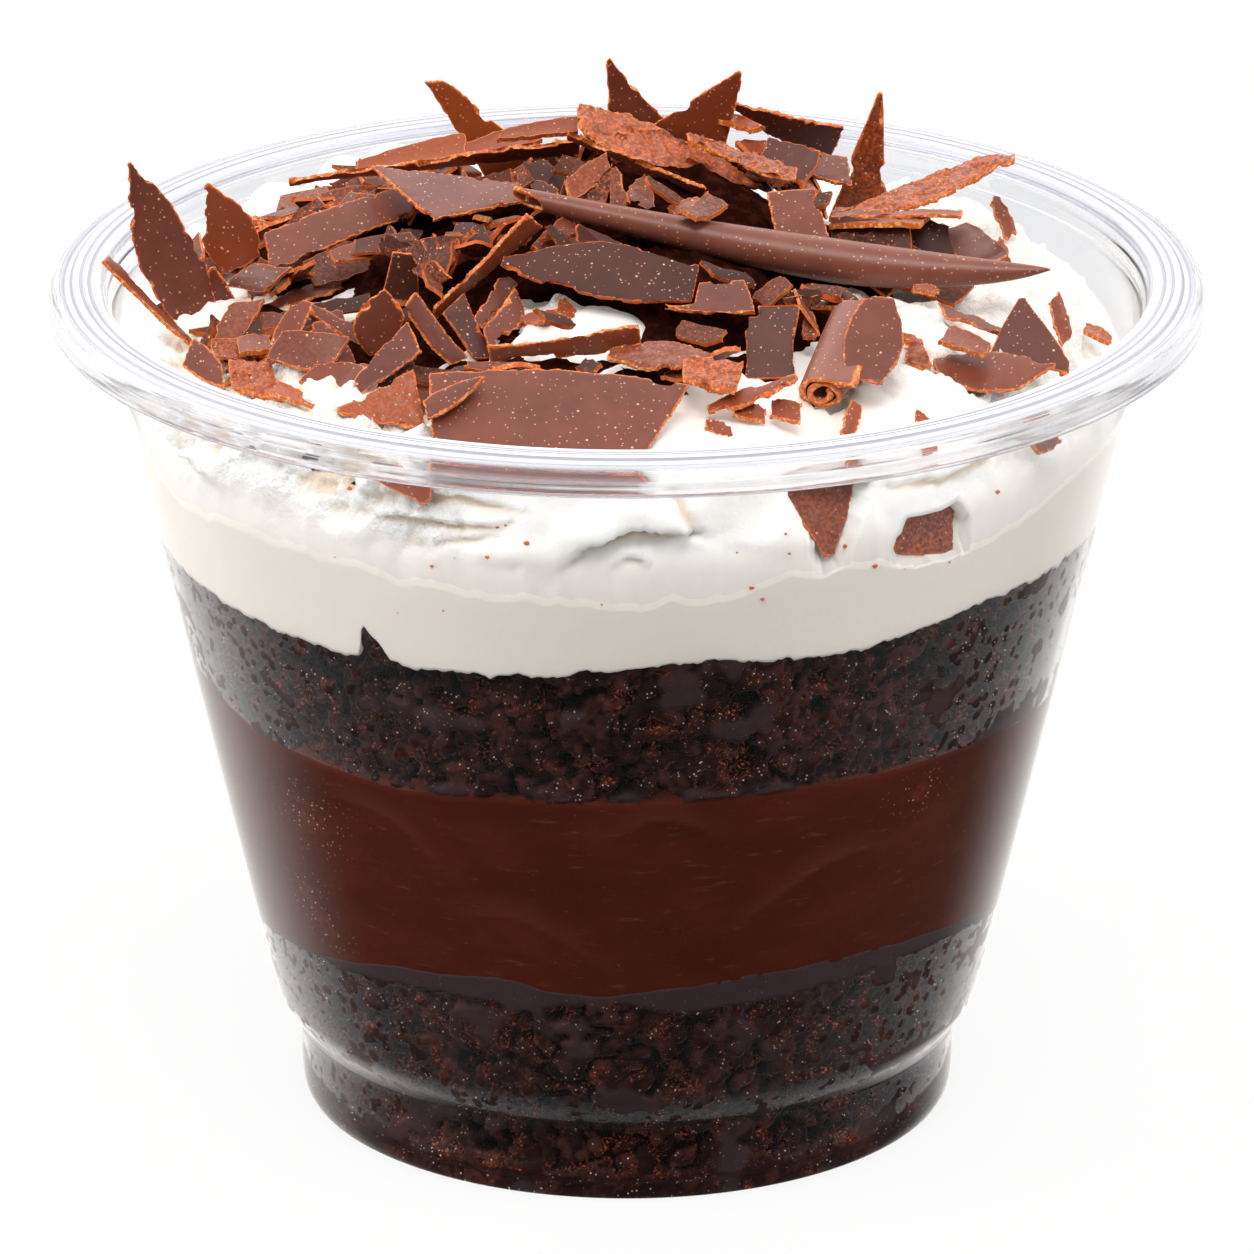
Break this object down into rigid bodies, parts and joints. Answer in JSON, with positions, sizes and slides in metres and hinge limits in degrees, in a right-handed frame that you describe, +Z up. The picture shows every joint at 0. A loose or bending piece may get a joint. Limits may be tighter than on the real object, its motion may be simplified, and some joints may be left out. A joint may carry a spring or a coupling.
{
  "type": "black forest cake cup",
  "caption": "Clear tapered cup with a rolled rim, filled with layers of dark cake, chocolate mousse and whipped cream and topped with a loose heap of chocolate shavings.",
  "frame": {"origin": "middle of the circle that the cup's foot stands on", "axes": "+Z up through the middle of the cup; -Y towards the viewer, the side where the cream shows lowest; +X to the viewer's right"},
  "size_m": [0.095, 0.095, 0.0846],
  "materials": {
    "plastic": "clear, polished",
    "cake": "moist open crumb",
    "mousse": "smooth, slightly moist",
    "cream": "soft, satin",
    "chocolate": "matte with rough edges"
  },
  "bodies": {
    "root": {"cup": "plastic", "cake_bottom": "cake", "mousse": "mousse", "cake_top": "cake", "cream": "cream", "shavings_heap": "chocolate", "quill_long": "chocolate", "curl_front": "chocolate", "plate_front": "chocolate", "blade_front": "chocolate", "rough_front": "chocolate", "plate_mid_left": "chocolate", "leaf_mid": "chocolate", "leaf_mid_low": "chocolate", "blade_front_right": "chocolate", "plate_curl": "chocolate", "strip_up_mid": "chocolate", "leaf_up_left": "chocolate", "finger_left": "chocolate", "leaf_left": "chocolate", "strip_mid_left": "chocolate", "rim_chip_left": "chocolate", "rough_left": "chocolate", "dark_up_mid": "chocolate", "slab_mid_a": "chocolate", "slab_mid_b": "chocolate", "dark_strip_mid": "chocolate", "leaf_front_mid": "chocolate", "rough_front_mid": "chocolate", "plate_mid_right": "chocolate", "edge_mid": "chocolate", "dark_up_left": "chocolate", "chip_cream_large": "chocolate", "chip_cream_small": "chocolate", "blade_left": "chocolate", "blade_left_pale": "chocolate", "sliver_left": "chocolate", "chip_left": "chocolate", "plate_left": "chocolate", "strip_left": "chocolate", "rough_right": "chocolate", "leaf_rim_right": "chocolate", "wedge_right": "chocolate", "strip_right": "chocolate", "edge_top": "chocolate", "rough_top": "chocolate", "square_mid": "chocolate", "plate_top_left": "chocolate", "strip_top_left": "chocolate", "strip_top_mid": "chocolate", "plate_back_right": "chocolate", "fan_back_upper": "chocolate", "fan_back_lower": "chocolate", "strip_back": "chocolate", "spike_back": "chocolate", "dark_back": "chocolate", "fin_back_left": "chocolate", "fin_back_mid": "chocolate", "fin_back_right": "chocolate"}
  },
  "joints": []
}
